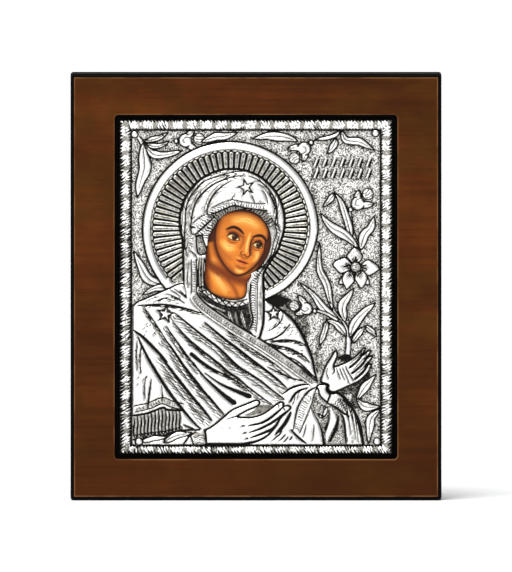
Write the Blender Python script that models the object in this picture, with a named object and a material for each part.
"""A silver icon: an embossed silver cover over a painted panel, pinned in a recessed wooden frame.

It stands upright with its front towards -Y, +X to the right and +Z up. The origin is at the
centre of the frame's flat back. All sizes below are in millimetres.
"""

import math

import bmesh
import bpy
from mathutils import Vector

MM = 0.001
GAP = 0.3  # clearance between touching pieces

# Wooden frame
FRAME_WIDTH = 195.0
FRAME_HEIGHT = 224.5
FRAME_DEPTH = 18.0
FRAME_CORNER = 1.6
FRAME_BEVEL = 1.3
RECESS_WIDTH = 148.6
RECESS_HEIGHT = 181.3
RECESS_DEPTH = 7.0
RECESS_CORNER = 2.0
RECESS_CHAMFER = 0.4
SLOT_WIDTH = 9.0
SLOT_HEIGHT = 16.0
SLOT_DEPTH = 6.0
SLOT_CENTRE_Z = 76.0

# Panel and silver cover
COVER_WIDTH = 143.3
COVER_HEIGHT = 175.8
COVER_CORNER = 1.2
COVER_SHEET = 0.9
PANEL_THICKNESS = 3.0
PANEL_INSET = 0.5
BAND_SIDE = 5.9
BAND_TOP = 5.3
BAND_BOTTOM = 4.3
BAND_RISE = 0.8

# Depths, measured towards the viewer from the back of the frame
RECESS_FLOOR = FRAME_DEPTH - RECESS_DEPTH
PANEL_BACK = RECESS_FLOOR + GAP
PANEL_FRONT = PANEL_BACK + PANEL_THICKNESS
COVER_BACK = PANEL_FRONT + GAP
FIELD = COVER_BACK + COVER_SHEET
FOOT = FIELD - 0.4  # where the raised forms start, inside the sheet

# Pins
PIN_HEAD_RADIUS = 1.7
PIN_HEAD_RISE = 1.1
PIN_SHANK_RADIUS = 0.6
PIN_LENGTH = 8.5
PIN_PLACES = {
    "pin_top_left": (-63.8, 80.3),
    "pin_top_right": (62.8, 80.9),
    "pin_bottom_left": (-61.5, -81.5),
    "pin_bottom_right": (63.6, -81.5),
}

# Head opening: a tilted oval for the face and a tapered one for the neck
FACE_CENTRE = (-8.4, 23.2)
FACE_HALF_WIDTH = 15.9
FACE_HALF_HEIGHT = 17.6
FACE_TILT = math.radians(-18)
NECK_OUTLINE = [(-22.0, 28.0), (-25.4, 21.0), (-26.4, 12.0), (-26.6, 1.0), (-21.5, -4.0),
                (-14.0, -6.4), (-6.4, -5.4), (-5.0, 2.0), (-4.0, 9.0)]

# Halo
HALO_CENTRE = (-13.5, 30.3)
HALO_RADIUS = 46.1
HALO_RING = 4.3
HALO_START = -66
HALO_END = 223
RAY_COUNT = 72
RAY_OUTER = 40.7
RAY_INNER = 25.0
RAY_WIDTH = 2.3

# Veil
VEIL_CENTRE = (-12.4, 34.5)
VEIL_RADIUS = 27.5


def clear_scene():
    for item in list(bpy.data.objects):
        bpy.data.objects.remove(item, do_unlink=True)


def make_collection(name):
    collection = bpy.data.collections.new(name)
    bpy.context.scene.collection.children.link(collection)
    return collection


def make_material(name, colour, roughness, metallic):
    material = bpy.data.materials.new(name)
    material.use_nodes = True
    shader = material.node_tree.nodes["Principled BSDF"]
    shader.inputs["Base Color"].default_value = (*colour, 1.0)
    shader.inputs["Roughness"].default_value = roughness
    shader.inputs["Metallic"].default_value = metallic
    return material


def place(x, depth, z):
    """A point given in millimetres, with its depth towards the viewer."""
    return Vector((x, -depth, z)) * MM


def rounded_rectangle(width, height, radius, centre=(0.0, 0.0), steps=4):
    outline = []
    corners = ((1, -1, -90), (1, 1, 0), (-1, 1, 90), (-1, -1, 180))
    for side_x, side_z, start in corners:
        for step in range(steps + 1):
            angle = math.radians(start + 90 * step / steps)
            x = centre[0] + side_x * (width / 2 - radius) + radius * math.cos(angle)
            z = centre[1] + side_z * (height / 2 - radius) + radius * math.sin(angle)
            outline.append((x, z))
    return outline


def oval(centre, half_width, half_height, tilt=0.0, steps=16):
    outline = []
    for step in range(steps):
        angle = 2 * math.pi * step / steps
        x = half_width * math.cos(angle)
        z = half_height * math.sin(angle)
        turned_x = centre[0] + x * math.cos(tilt) - z * math.sin(tilt)
        turned_z = centre[1] + x * math.sin(tilt) + z * math.cos(tilt)
        outline.append((turned_x, turned_z))
    return outline


def arc(centre, radius, start, end, steps):
    """Points on a circle, with the angles in degrees."""
    outline = []
    for step in range(steps + 1):
        angle = math.radians(start + (end - start) * step / steps)
        outline.append((centre[0] + radius * math.cos(angle), centre[1] + radius * math.sin(angle)))
    return outline


def course(points, steps):
    """A smooth path through two or more points, with the given number of stations per span."""
    path = []
    last = len(points) - 1
    for span in range(last):
        before = Vector(points[max(span - 1, 0)])
        start = Vector(points[span])
        end = Vector(points[span + 1])
        after = Vector(points[min(span + 2, last)])
        for step in range(steps):
            t = step / steps
            bend = (2 * before - 5 * start + 4 * end - after) * t * t
            twist = (3 * start - before - 3 * end + after) * t ** 3
            path.append(start + 0.5 * ((end - before) * t + bend + twist))
    path.append(Vector(points[-1]))
    return path


def bowed(base, tip, bow):
    """The middle line of a leaf or fold that bulges by bow to the left of its run."""
    run = Vector(tip) - Vector(base)
    side = Vector((-run.y, run.x)).normalized()
    middle = Vector(base) + run / 2 + side * bow
    return [base, tuple(middle), tip]


def loft(bm, sections):
    """Closed skin over sections that have equal numbers of points."""
    rings = [[bm.verts.new(point) for point in section] for section in sections]
    count = len(rings[0])
    faces = [bm.faces.new(rings[0]), bm.faces.new(rings[-1][::-1])]
    for ring, following in zip(rings, rings[1:]):
        for i in range(count):
            j = (i + 1) % count
            faces.append(bm.faces.new((ring[i], following[i], following[j], ring[j])))
    bmesh.ops.recalc_face_normals(bm, faces=faces)


def prism(bm, outline, back, front):
    loft(bm, [[place(x, depth, z) for x, z in outline] for depth in (back, front)])


def rib(bm, path, half_width, rise):
    """A raised form along a path. half_width and rise give its size at each station from 0 to 1."""
    sections = []
    last = len(path) - 1
    for i, point in enumerate(path):
        t = i / last
        run = path[min(i + 1, last)] - path[max(i - 1, 0)]
        side = Vector((-run.y, run.x)).normalized() * half_width(t)
        left = point + side
        right = point - side
        sections.append([place(left.x, FOOT, left.y), place(right.x, FOOT, right.y),
                         place(point.x, FIELD + rise(t), point.y)])
    loft(bm, sections)


def round_rib(bm, path, half_width, rise):
    """A raised form with a rounded back, for fingers and for the halo's ring."""
    sections = []
    last = len(path) - 1
    for i, point in enumerate(path):
        t = i / last
        run = path[min(i + 1, last)] - path[max(i - 1, 0)]
        side = Vector((-run.y, run.x)).normalized() * half_width(t)
        height = rise(t)
        section = []
        low = FIELD + height * 0.35
        high = FIELD + height
        for offset, depth in ((1, FOOT), (-1, FOOT), (-1, low), (-0.62, high), (0.62, high),
                              (1, low)):
            at = point + side * offset
            section.append(place(at.x, depth, at.y))
        sections.append(section)
    loft(bm, sections)


def pad(bm, outline, rise, chamfer):
    """A raised area with a sloping rim."""
    verts = [bm.verts.new(place(x, FOOT, z)) for x, z in outline]
    face = bm.faces.new(verts)
    raised = bmesh.ops.extrude_face_region(bm, geom=[face])["geom"]
    top = [item for item in raised if isinstance(item, bmesh.types.BMFace)]
    lift = (FIELD + rise - chamfer - FOOT) * MM
    tops = [item for item in raised if isinstance(item, bmesh.types.BMVert)]
    bmesh.ops.translate(bm, verts=tops, vec=(0, -lift, 0))
    bmesh.ops.inset_region(bm, faces=top, thickness=chamfer * MM, use_even_offset=True)
    bmesh.ops.translate(bm, verts=top[0].verts, vec=(0, -chamfer * MM, 0))
    linked = set(face.verts) | set(tops) | set(top[0].verts)
    faces = {f for vert in linked for f in vert.link_faces}
    bmesh.ops.recalc_face_normals(bm, faces=list(faces))


def leaf(bm, points, width, rise=1.1):
    """A pointed leaf with a ridge along its middle."""
    path = course(points, 6 if len(points) == 2 else 3)

    def half_width(t):
        return 0.12 + width / 2 * math.sin(math.pi * t ** 0.85) ** 0.8

    rib(bm, path, half_width, lambda t: rise * (0.45 + 0.55 * math.sin(math.pi * t)))


def stem(bm, points, width=1.3, rise=0.9):
    path = course(points, 3)
    rib(bm, path, lambda t: width / 2, lambda t: rise)


def fold(bm, points, width=1.8, level=1.0, rise=0.9):
    """A ridge of cloth, low at both ends, on cloth that already stands at the given level."""
    path = course(points, 3)

    def half_width(t):
        return 0.2 + width / 2 * math.sin(math.pi * min(max(t, 0.04), 0.96)) ** 0.6

    rib(bm, path, half_width, lambda t: level + rise * math.sin(math.pi * t) ** 0.7 - 0.15)


def finger(bm, points, width, rise=2.5):
    path = course(points, 3)

    def half_width(t):
        return width / 2 * min(1.0, 0.45 + (1 - t) * 6)

    round_rib(bm, path, half_width, lambda t: rise * (0.8 + 0.2 * math.sin(math.pi * (1 - t))))


def star(bm, centre, radius, level):
    outline = []
    for step in range(10):
        reach = radius if step % 2 == 0 else radius * 0.42
        angle = math.radians(100 + 36 * step)
        outline.append((centre[0] + reach * math.cos(angle), centre[1] + reach * math.sin(angle)))
    prism(bm, outline, FOOT, FIELD + level + 0.5)


def add_border(bm):
    """A raised band along the cover's edge, with a chamfer on both of its sides."""
    edge = 0.2
    slope = 0.5
    sections = []
    low = FIELD + 0.2
    high = FIELD + BAND_RISE
    for inward, shift, depth in ((0, 0, FOOT), (0, 0, low), (0, slope, high),
                                 (1, -slope, high), (1, 0, low), (1, 0, FOOT)):
        side = COVER_WIDTH / 2 - edge - shift - inward * (BAND_SIDE - edge)
        top = COVER_HEIGHT / 2 - edge - shift - inward * (BAND_TOP - edge)
        bottom = edge + shift + inward * (BAND_BOTTOM - edge) - COVER_HEIGHT / 2
        corners = ((-side, bottom), (side, bottom), (side, top), (-side, top))
        sections.append([place(x, depth, z) for x, z in corners])
    rings = [[bm.verts.new(point) for point in section] for section in sections]
    faces = []
    for ring, following in zip(rings, rings[1:] + rings[:1]):
        for i in range(4):
            j = (i + 1) % 4
            faces.append(bm.faces.new((ring[i], ring[j], following[j], following[i])))
    bmesh.ops.recalc_face_normals(bm, faces=faces)


def add_halo(bm):
    ring = arc(HALO_CENTRE, HALO_RADIUS - HALO_RING / 2, HALO_START, HALO_END, 36)
    path = [Vector(point) for point in ring]
    round_rib(bm, path, lambda t: HALO_RING / 2, lambda t: 1.4)
    for step in range(RAY_COUNT):
        degrees = 360 * step / RAY_COUNT
        if HALO_END - 7 < degrees < 360 + HALO_START + 12:
            continue
        angle = math.radians(degrees)
        direction = Vector((math.cos(angle), math.sin(angle)))
        centre = Vector(HALO_CENTRE)
        path = [centre + direction * RAY_INNER, centre + direction * RAY_OUTER]
        rib(bm, path, lambda t: RAY_WIDTH / 2, lambda t: 0.9)


def add_veil(bm):
    outline = arc(VEIL_CENTRE, VEIL_RADIUS, -38, 192, 26)
    outline += [(-38.8, 18.0), (-38.0, 3.0), (-35.5, -4.5), (-30.8, -4.5), (-30.4, 8.0)]
    outline += [(-31.5, 18.0), (-28.0, 30.0), (-5.0, 36.0), (8.0, 24.0), (0.0, 6.0), (-3.0, -4.0)]
    outline += [(-2.4, -18.0), (1.2, -27.0), (4.0, -18.0), (4.0, 6.0)]
    pad(bm, outline, 1.7, 0.5)
    fold(bm, [(-5.5, 60.2), (-26.0, 54.8), (-36.4, 40.0), (-37.0, 20.0)], 2.2, 1.7, 0.6)
    fold(bm, [(-5.5, 57.4), (-22.0, 52.4), (-33.2, 38.0), (-33.4, 28.5)], 2.4, 1.7, 0.6)
    fold(bm, [(-2.0, 57.4), (7.0, 50.0), (10.4, 38.0), (9.0, 24.0)], 2.4, 1.7, 0.6)
    fold(bm, [(10.6, 32.0), (7.6, 17.0), (0.0, 4.0)], 2.2, 1.7, 0.6)
    rib(bm, course([(-24.0, 39.6), (-12.0, 44.0), (5.6, 41.8)], 4), lambda t: 1.9, lambda t: 2.3)
    rib(bm, course([(-32.4, 29.2), (-22.4, 37.2)], 3), lambda t: 1.9, lambda t: 2.2)
    rib(bm, course([(-33.4, 12.0), (-33.6, -3.0)], 3), lambda t: 1.4, lambda t: 2.1)
    rib(bm, course([(-0.4, 4.0), (0.4, -8.0), (0.2, -22.0)], 3), lambda t: 1.4, lambda t: 2.1)
    star(bm, (-5.2, 52.4), 4.2, 1.7)


def add_robe(bm):
    left = [(-65.3, -9.5), (-57.0, -5.5), (-41.0, 1.5), (-20.0, 2.0)]
    right = [(4.0, -6.5), (14.4, -13.3), (22.6, -22.2), (28.6, -35.0), (31.6, -49.0), (37.0, -60.0)]
    sleeve = [(43.6, -56.3), (51.4, -65.0), (55.4, -74.0), (56.6, -83.4)]
    cuff = [(-57.0, -83.4), (-58.4, -80.2), (-65.3, -77.6)]
    pad(bm, (left + right + sleeve + cuff)[::-1], 1.0, 0.5)
    fold(bm, [(-58.0, -6.8), (-44.0, -4.0), (-29.0, -11.5)], 4.0)
    # The hem runs from the left shoulder to the right wrist.
    rib(bm, course([(-32.0, -5.6), (-8.0, -24.0), (31.0, -51.0)], 5), lambda t: 1.8, lambda t: 2.0)
    # Long folds fall from the left shoulder.
    fold(bm, [(-40.0, -14.0), (-16.0, -31.0), (13.0, -53.0)], 3.4)
    fold(bm, [(-38.0, -22.0), (-16.0, -40.0), (8.0, -59.5)], 3.2)
    fold(bm, [(-45.0, -19.0), (-26.0, -37.5), (-4.0, -52.5)], 3.2)
    fold(bm, [(-48.5, -19.5), (-33.0, -40.0), (-12.5, -58.5)], 3.2)
    fold(bm, [(-51.5, -18.5), (-38.0, -42.0), (-19.0, -64.0)], 3.4)
    fold(bm, [(-58.0, -14.0), (-46.0, -36.0), (-25.0, -67.0)], 4.2)
    fold(bm, [(-63.5, -17.0), (-49.0, -41.0), (-30.0, -71.5)], 4.0)
    fold(bm, [(-61.0, -29.0), (-52.0, -48.0), (-34.0, -72.0)], 3.6)
    # The left sleeve hangs from the shoulder to its hem.
    fold(bm, [(-62.8, -28.0), (-61.4, -45.0), (-59.8, -61.0)], 3.4)
    fold(bm, [(-58.5, -34.0), (-55.0, -48.0), (-53.5, -60.0)], 3.4)
    rib(bm, course([(-63.4, -65.4), (-49.2, -60.6), (-40.0, -63.4)], 3), lambda t: 1.9,
        lambda t: 1.8)
    # Pleats of the left cuff
    for step in range(11):
        x = -62.0 + 2.1 * step
        fold(bm, [(x, -67.8 + 0.25 * step), (x + 0.4, -79.2 + 0.2 * step)], 1.5, 1.0, 0.5)
    # Folds over the right shoulder and down the right sleeve
    fold(bm, [(15.6, -16.0), (12.0, -23.0), (5.4, -26.6)], 3.0)
    fold(bm, [(7.0, -28.4), (17.0, -29.6), (26.4, -34.0)], 3.0)
    fold(bm, [(8.0, -31.6), (20.0, -36.6), (29.4, -44.6)], 3.0)
    fold(bm, [(44.4, -59.0), (51.4, -69.0), (54.6, -82.0)], 3.6)
    fold(bm, [(41.6, -63.0), (45.4, -72.0), (44.4, -82.0)], 3.2)
    fold(bm, [(30.6, -58.0), (25.6, -70.0), (23.6, -80.0)], 3.2)
    fold(bm, [(28.6, -65.0), (30.6, -74.0), (31.6, -82.0)], 3.6)
    star(bm, (-47.6, -14.2), 4.0, 1.0)
    star(bm, (9.2, -13.8), 3.8, 1.0)


def add_hands(bm):
    """The lower hand lies on the breast, and the upper one is raised and open."""
    palm = [(-30.2, -81.9), (-29.6, -74.6), (-24.0, -73.4), (-16.0, -68.4), (-8.0, -68.2),
            (-2.0, -69.6), (0.6, -76.0), (-1.0, -81.9)]
    pad(bm, palm[::-1], 2.0, 0.6)
    finger(bm, [(-16.0, -70.6), (-8.0, -65.6), (1.4, -60.8)], 3.6)
    finger(bm, [(-7.0, -70.6), (4.6, -68.6), (13.6, -61.8)], 3.3)
    finger(bm, [(-6.0, -74.2), (5.6, -71.6), (17.2, -64.0)], 3.1)
    finger(bm, [(-5.0, -77.8), (5.6, -74.8), (13.6, -69.0)], 3.0)
    finger(bm, [(-4.6, -80.4), (3.0, -79.0), (9.4, -75.2)], 2.6)
    palm = [(34.2, -46.0), (37.6, -41.6), (46.0, -40.6), (51.0, -39.0), (56.4, -46.6),
            (52.0, -51.0), (42.0, -55.4), (38.6, -54.8), (34.2, -50.6)]
    pad(bm, palm[::-1], 2.0, 0.6)
    finger(bm, [(37.2, -44.6), (40.0, -39.6), (42.0, -34.6)], 3.4)
    finger(bm, [(48.4, -42.0), (53.2, -37.0), (57.0, -32.6)], 2.7)
    finger(bm, [(50.0, -44.0), (55.8, -38.8), (59.8, -33.8)], 2.7)
    finger(bm, [(51.6, -46.6), (57.2, -41.6), (60.8, -37.2)], 2.7)
    finger(bm, [(53.0, -48.8), (57.6, -45.6), (60.2, -41.4)], 2.5)
    round_rib(bm, course([(35.4, -53.0), (39.4, -58.6), (44.6, -57.0)], 3), lambda t: 2.0,
              lambda t: 2.0)


def bud(bm, centre, towards, size=3.2):
    """A half-open flower on its stalk: a round cup, two lips and a disc between them."""
    facing = math.radians(towards)
    along = Vector((math.cos(facing), math.sin(facing)))
    across = Vector((-along.y, along.x))
    middle = Vector(centre)
    pad(bm, oval(centre, size, size, steps=10), 1.4, 0.6)
    disc = middle + along * size * 2.3
    pad(bm, oval(disc, size * 0.7, size * 0.7, steps=8), 0.7, 0.3)
    for side in (1, -1):
        start = middle + across * side * size * 0.4
        bend = middle + along * size * 1.4 + across * side * size * 0.7
        tip = middle + along * size * 2.3 + across * side * size * 1.5
        leaf(bm, [tuple(start), tuple(bend), tuple(tip)], size * 0.8, 1.5)
    calyx = middle - along * size * 1.45
    pad(bm, oval(calyx, size * 0.4, size * 0.4, steps=6), 1.0, 0.3)


def add_plants(bm):
    # Spray in the top left corner
    stem(bm, [(-61.4, 78.2), (-59.6, 75.4)])
    leaf(bm, bowed((-59.6, 76.6), (-46.4, 81.4), -0.6), 3.0)
    leaf(bm, bowed((-59.4, 75.6), (-45.2, 76.6), -2.0), 2.8)
    leaf(bm, bowed((-58.2, 74.8), (-38.6, 71.4), -3.6), 3.8)
    leaf(bm, bowed((-59.4, 74.8), (-62.2, 47.4), 1.6), 5.4)
    bud(bm, (-37.4, 77.0), 8)
    # Leaves along the top edge
    leaf(bm, bowed((-28.2, 76.6), (-9.4, 81.2), -0.6), 3.8)
    leaf(bm, [(22.0, 76.4), (12.0, 78.6), (6.6, 78.4), (-1.6, 78.2)], 4.2)
    bud(bm, (26.6, 73.2), 215)
    stem(bm, [(31.6, 76.8), (37.0, 78.6), (44.6, 81.6)])
    leaf(bm, bowed((41.4, 77.6), (37.2, 69.8), -0.6), 2.8)
    leaf(bm, bowed((45.4, 81.2), (61.5, 73.4), -1.6), 3.6)
    # Rows of shallow strokes stand in the place of the inscription.
    for row in range(3):
        for step in range(10):
            x = 30.5 + 3.2 * step
            z = 66.0 - 3.6 * row
            rib(bm, [Vector((x, z + 1.0)), Vector((x, z - 1.0))], lambda t: 0.6, lambda t: 0.5)
    # Middle plant with its five-petalled flower
    stem(bm, [(49.6, 39.6), (49.6, 31.0), (54.2, 20.0)])
    bud(bm, (53.6, 44.4), 48, 3.0)
    leaf(bm, [(51.6, 25.4), (47.4, 36.6), (46.0, 43.6), (41.6, 49.4)], 3.4)
    leaf(bm, bowed((41.8, 49.0), (35.8, 42.0), 0.3), 3.0)
    leaf(bm, bowed((53.8, 20.6), (33.8, 38.6), 1.6), 4.6)
    leaf(bm, bowed((54.8, 19.6), (62.2, 36.8), -1.4), 4.2)
    middle = Vector((52.4, 10.4))
    for degrees, reach in ((94, 9.8), (172, 12.0), (-2, 11.8), (238, 15.0), (296, 12.4)):
        angle = math.radians(degrees)
        tip = middle + Vector((math.cos(angle), math.sin(angle))) * reach
        start = middle + (tip - middle) * 0.12
        leaf(bm, [tuple(start), tuple(tip)], 7.4, 1.4)
    pad(bm, oval(middle, 2.4, 2.4, steps=10), 1.9, 0.5)
    # Lower plant
    leaf(bm, [(39.4, -9.0), (38.0, 4.0), (33.4, 23.0)], 3.4)
    stem(bm, [(39.4, -8.0), (41.4, -14.0), (46.4, -20.0), (48.6, -27.0), (48.2, -36.0)], 2.2)
    leaf(bm, [(46.0, -19.4), (36.0, -11.4), (30.4, -5.0), (22.6, 2.2)], 3.2)
    leaf(bm, [(46.4, -18.6), (45.4, -9.6), (51.0, -0.4)], 3.6)
    leaf(bm, [(49.0, -25.6), (53.4, -17.4), (62.4, -8.6)], 3.8)
    leaf(bm, [(47.4, -25.8), (42.6, -19.8), (36.0, -17.0)], 3.2)
    leaf(bm, bowed((36.2, -17.0), (33.0, -30.4), 0.4), 3.6)
    leaf(bm, [(50.8, -29.0), (54.0, -24.6), (57.2, -20.4)], 2.8)
    leaf(bm, bowed((57.0, -20.6), (63.2, -25.8), 0.2), 2.8)
    stem(bm, [(43.0, -17.2), (37.0, -14.0), (30.6, -12.4)], 1.0)
    bud(bm, (26.4, -11.8), 170, 2.9)
    # Leaves at the left edge and in the bottom right corner
    leaf(bm, bowed((-48.6, 0.8), (-64.0, 18.2), 0.6), 4.2)
    leaf(bm, bowed((-46.0, -0.6), (-58.8, -3.8), -1.0), 3.4)
    leaf(bm, bowed((53.2, -59.6), (63.0, -46.6), -0.6), 3.4)
    leaf(bm, bowed((53.2, -59.6), (65.4, -63.0), -1.2), 3.4)
    leaf(bm, [(65.2, -64.4), (59.4, -69.6), (59.2, -82.4)], 3.8)


def mesh_object(name, bm, material, collection):
    mesh = bpy.data.meshes.new(name)
    bm.to_mesh(mesh)
    bm.free()
    if material:
        mesh.materials.append(material)
    item = bpy.data.objects.new(name, mesh)
    collection.objects.link(item)
    return item


def make_cutter(name, bm, cutters):
    item = mesh_object(name, bm, None, cutters)
    item.hide_render = True
    item.display_type = "WIRE"
    return item


def add_boolean(item, other, operation, crossing=False):
    modifier = item.modifiers.new(other.name, "BOOLEAN")
    modifier.object = other
    modifier.operation = operation
    modifier.use_self = crossing


def pin_holes(bm, back, front):
    radius = PIN_SHANK_RADIUS + GAP
    for centre in PIN_PLACES.values():
        prism(bm, oval(centre, radius, radius, steps=8), back, front)


def make_frame(parts, cutters):
    wood = make_material("frame_wood", (0.16, 0.055, 0.02), 0.4, 0.0)
    bm = bmesh.new()
    prism(bm, rounded_rectangle(FRAME_WIDTH, FRAME_HEIGHT, FRAME_CORNER), 0, FRAME_DEPTH)
    front = -FRAME_DEPTH * MM
    rim = [edge for edge in bm.edges if all(abs(vert.co.y - front) < 1e-6 for vert in edge.verts)]
    bmesh.ops.bevel(bm, geom=rim, offset=FRAME_BEVEL * MM, segments=2, profile=0.5,
                    affect="EDGES", material=-1)
    frame = mesh_object("wooden_frame", bm, wood, parts)

    bm = bmesh.new()
    sections = []
    for grown, depth in ((0, RECESS_FLOOR), (0, FRAME_DEPTH - RECESS_CHAMFER),
                         (3 * RECESS_CHAMFER, FRAME_DEPTH + 2 * RECESS_CHAMFER)):
        outline = rounded_rectangle(RECESS_WIDTH + 2 * grown, RECESS_HEIGHT + 2 * grown,
                                    RECESS_CORNER + grown)
        sections.append([place(x, depth, z) for x, z in outline])
    loft(bm, sections)
    add_boolean(frame, make_cutter("recess_cutter", bm, cutters), "DIFFERENCE")

    bm = bmesh.new()
    slot = rounded_rectangle(SLOT_WIDTH, SLOT_HEIGHT, SLOT_WIDTH / 2 - 0.01, (0, SLOT_CENTRE_Z))
    prism(bm, slot, -1.0, SLOT_DEPTH)
    pin_holes(bm, FIELD - PIN_LENGTH, FRAME_DEPTH)
    add_boolean(frame, make_cutter("slot_and_hole_cutter", bm, cutters), "DIFFERENCE")


def make_panel(parts, cutters):
    paint = make_material("icon_paint", (0.62, 0.25, 0.05), 0.45, 0.0)
    bm = bmesh.new()
    outline = rounded_rectangle(COVER_WIDTH - 2 * PANEL_INSET, COVER_HEIGHT - 2 * PANEL_INSET,
                                COVER_CORNER)
    prism(bm, outline, PANEL_BACK, PANEL_FRONT)
    panel = mesh_object("painted_panel", bm, paint, parts)
    bm = bmesh.new()
    pin_holes(bm, PANEL_BACK - 1, PANEL_FRONT + 1)
    add_boolean(panel, make_cutter("panel_hole_cutter", bm, cutters), "DIFFERENCE")


def make_cover(parts, cutters):
    silver = make_material("oxidised_silver", (0.75, 0.74, 0.71), 0.3, 1.0)
    bm = bmesh.new()
    prism(bm, rounded_rectangle(COVER_WIDTH, COVER_HEIGHT, COVER_CORNER, steps=2),
          COVER_BACK, FIELD)
    cover = mesh_object("silver_cover", bm, silver, parts)

    bm = bmesh.new()
    add_border(bm)
    add_halo(bm)
    add_veil(bm)
    add_robe(bm)
    add_hands(bm)
    add_plants(bm)
    add_boolean(cover, make_cutter("embossed_forms", bm, cutters), "UNION", crossing=True)

    bm = bmesh.new()
    face = oval(FACE_CENTRE, FACE_HALF_WIDTH, FACE_HALF_HEIGHT, FACE_TILT, steps=28)
    prism(bm, face, COVER_BACK - 1, FRAME_DEPTH + 3)
    prism(bm, NECK_OUTLINE, COVER_BACK - 1.1, FRAME_DEPTH + 3.1)
    pin_holes(bm, COVER_BACK - 1, FIELD + 3)
    add_boolean(cover, make_cutter("window_cutter", bm, cutters), "DIFFERENCE", crossing=True)


def make_pins(parts):
    """Domed pins, whose shanks run through the cover and the panel into the frame."""
    steel = make_material("pin_silver", (0.8, 0.79, 0.77), 0.25, 1.0)
    seat = FIELD + GAP
    for name, (x, z) in PIN_PLACES.items():
        bm = bmesh.new()
        rings = [(seat - PIN_LENGTH, PIN_SHANK_RADIUS), (seat, PIN_SHANK_RADIUS),
                 (seat, PIN_HEAD_RADIUS)]
        for step in range(1, 4):
            angle = math.radians(26 * step)
            rings.append((seat + PIN_HEAD_RISE * math.sin(angle), PIN_HEAD_RADIUS * math.cos(angle)))
        loft(bm, [[place(px, depth, pz) for px, pz in oval((x, z), radius, radius, steps=12)]
                  for depth, radius in rings])
        pin = mesh_object(name, bm, steel, parts)
        pin.data.shade_smooth()
        pin.data.set_sharp_from_angle(angle=math.radians(35))


def main():
    clear_scene()
    parts = make_collection("silver_icon")
    cutters = make_collection("cutters")
    make_frame(parts, cutters)
    make_panel(parts, cutters)
    make_cover(parts, cutters)
    make_pins(parts)


main()
